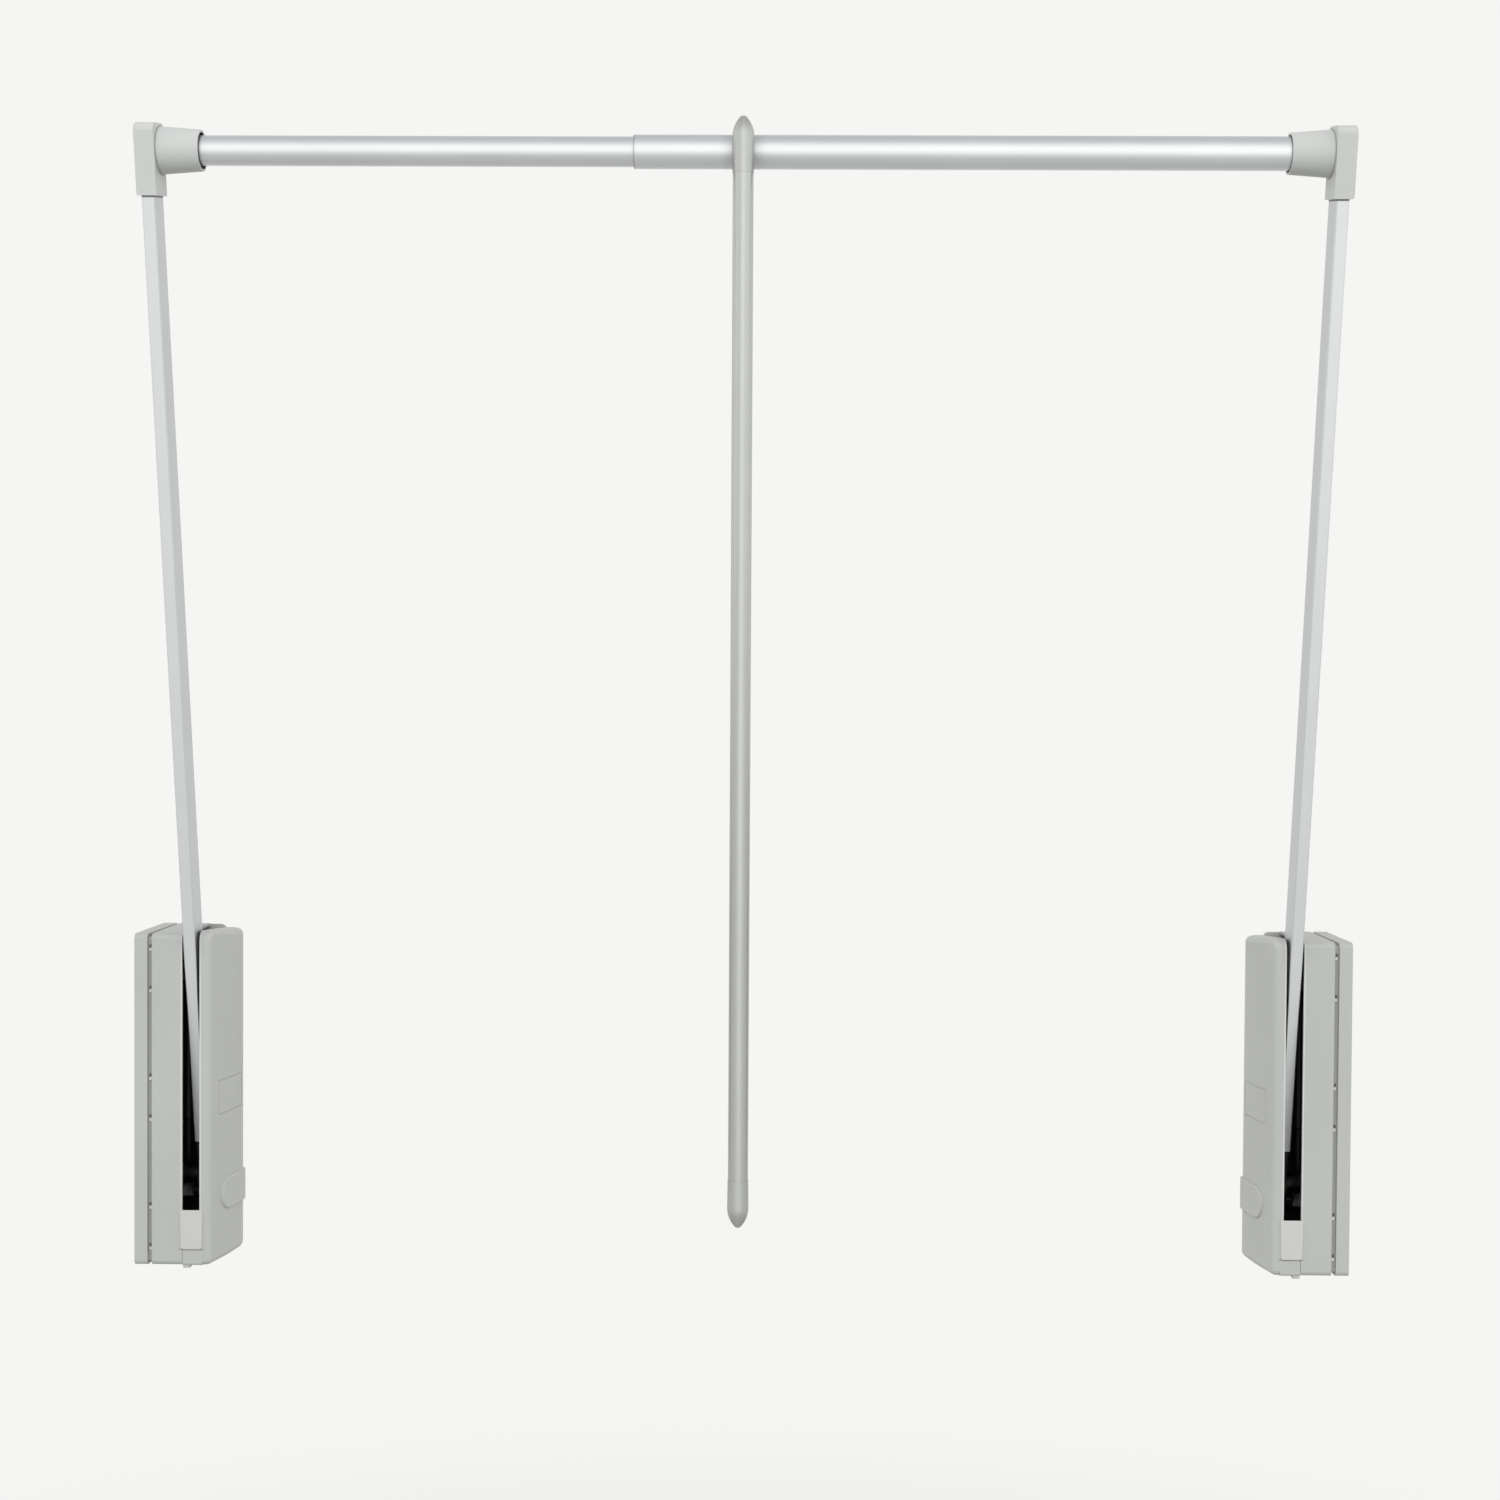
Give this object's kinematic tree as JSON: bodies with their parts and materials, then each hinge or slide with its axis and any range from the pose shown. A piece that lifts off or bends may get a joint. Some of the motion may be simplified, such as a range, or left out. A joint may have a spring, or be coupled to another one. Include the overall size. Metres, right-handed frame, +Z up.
{
  "type": "pull-down closet rod",
  "caption": "Pull-down wardrobe rail: sprung lift housings for both side panels, flat arms, a telescopic tube and a hanging pull handle.",
  "frame": {"origin": "middle of the left wall plate's back face, on the left side panel", "axes": "+X from the left side panel to the right one, +Y into the wardrobe, +Z up"},
  "size_m": [0.9, 0.2103, 0.8206],
  "materials": {
    "housing_grey": "fine matt light grey",
    "clip_white": "matt off-white",
    "connector_grey": "fine matt light grey",
    "anodised_aluminium": "satin anodised",
    "tube_aluminium": "satin anodised",
    "black_steel": "black coated sheet",
    "cylinder_black": "gloss black",
    "piston_black": "black nitrided",
    "zinc_steel": "zinc plated",
    "nylon": "natural grey nylon",
    "black_plastic": "black moulding",
    "rubber_black": "matt",
    "handle_grey": "satin grey",
    "handle_metal": "satin grey coating"
  },
  "bodies": {
    "left_unit": {"left_wall_plate": "housing_grey", "left_body_shell": "housing_grey", "left_inner_cover": "housing_grey", "left_slot_clip": "clip_white", "left_chassis": "black_steel", "left_chassis_screws": "zinc_steel", "left_pivot_axle": "zinc_steel", "left_pivot_sleeve": "zinc_steel", "left_gas_spring_cylinder": "cylinder_black", "left_gas_spring_nut": "zinc_steel", "left_stop_bumpers": "rubber_black"},
    "left_frame": {"left_lever": "black_steel", "left_pivot_bush": "nylon", "left_crank_pin": "zinc_steel", "left_arm": "anodised_aluminium", "left_arm_rivets": "zinc_steel", "left_corner_connector": "connector_grey", "left_connector_screw": "zinc_steel", "left_tube_plug": "nylon", "inner_tube": "tube_aluminium", "guide_plug": "nylon"},
    "left_roller_wheel": {"left_roller": "nylon"},
    "left_slider": {"left_crosshead": "black_plastic", "left_gas_spring_rod": "piston_black"},
    "right_frame": {"right_lever": "black_steel", "right_pivot_bush": "nylon", "right_crank_pin": "zinc_steel", "right_arm": "anodised_aluminium", "right_arm_rivets": "zinc_steel", "right_corner_connector": "connector_grey", "right_connector_screw": "zinc_steel", "right_tube_plug": "nylon", "outer_tube": "tube_aluminium"},
    "right_roller_wheel": {"right_roller": "nylon"},
    "right_unit": {"right_wall_plate": "housing_grey", "right_body_shell": "housing_grey", "right_inner_cover": "housing_grey", "right_slot_clip": "clip_white", "right_chassis": "black_steel", "right_chassis_screws": "zinc_steel", "right_pivot_axle": "zinc_steel", "right_pivot_sleeve": "zinc_steel", "right_gas_spring_cylinder": "cylinder_black", "right_gas_spring_nut": "zinc_steel", "right_stop_bumpers": "rubber_black"},
    "right_slider": {"right_crosshead": "black_plastic", "right_gas_spring_rod": "piston_black"},
    "handle": {"handle_head": "handle_grey", "handle_rod": "handle_metal", "handle_tip": "handle_grey"}
  },
  "joints": [
    {"name": "lift", "type": "hinge", "parent": "left_unit", "child": "left_frame", "pos_m": [0.042, 0.002, -0.0635], "axis": [1, 0, 0], "range_deg": [0, 85], "stiffness_Nm_per_rad": 8, "springref_deg": -42.97},
    {"name": "width_adjust", "type": "slide", "parent": "left_frame", "child": "right_frame", "axis": [1, 0, 0], "range_m": [-0.07, 0.25]},
    {"name": "right_pivot", "type": "hinge", "parent": "right_frame", "child": "right_unit", "pos_m": [0.858, 0.002, -0.0635], "axis": [1, 0, 0], "range_deg": [-85, 0]},
    {"name": "handle_swing", "type": "hinge", "parent": "right_frame", "child": "handle", "pos_m": [0.45, -0.14194, 0.67563], "axis": [1, 0, 0], "range_deg": [-150, 60]},
    {"name": "left_slider_lift", "type": "slide", "parent": "left_unit", "child": "left_slider", "axis": [0, 0, 1], "range_m": [0, 0.03312]},
    {"name": "right_slider_lift", "type": "slide", "parent": "right_unit", "child": "right_slider", "axis": [0, 0, 1], "range_m": [0, 0.03312]},
    {"name": "left_roller_spin", "type": "hinge", "parent": "left_frame", "child": "left_roller_wheel", "pos_m": [0.0235, 0.0197, -0.07971], "axis": [1, 0, 0], "continuous": true},
    {"name": "right_roller_spin", "type": "hinge", "parent": "right_frame", "child": "right_roller_wheel", "pos_m": [0.8765, 0.0197, -0.07971], "axis": [1, 0, 0], "continuous": true}
  ],
  "couplings": [
    {"joint": "right_pivot", "follows": "lift", "ratio": -1},
    {"joint": "left_slider_lift", "follows": "lift", "m_per_rad": 0.022312},
    {"joint": "right_slider_lift", "follows": "lift", "m_per_rad": 0.022312}
  ]
}
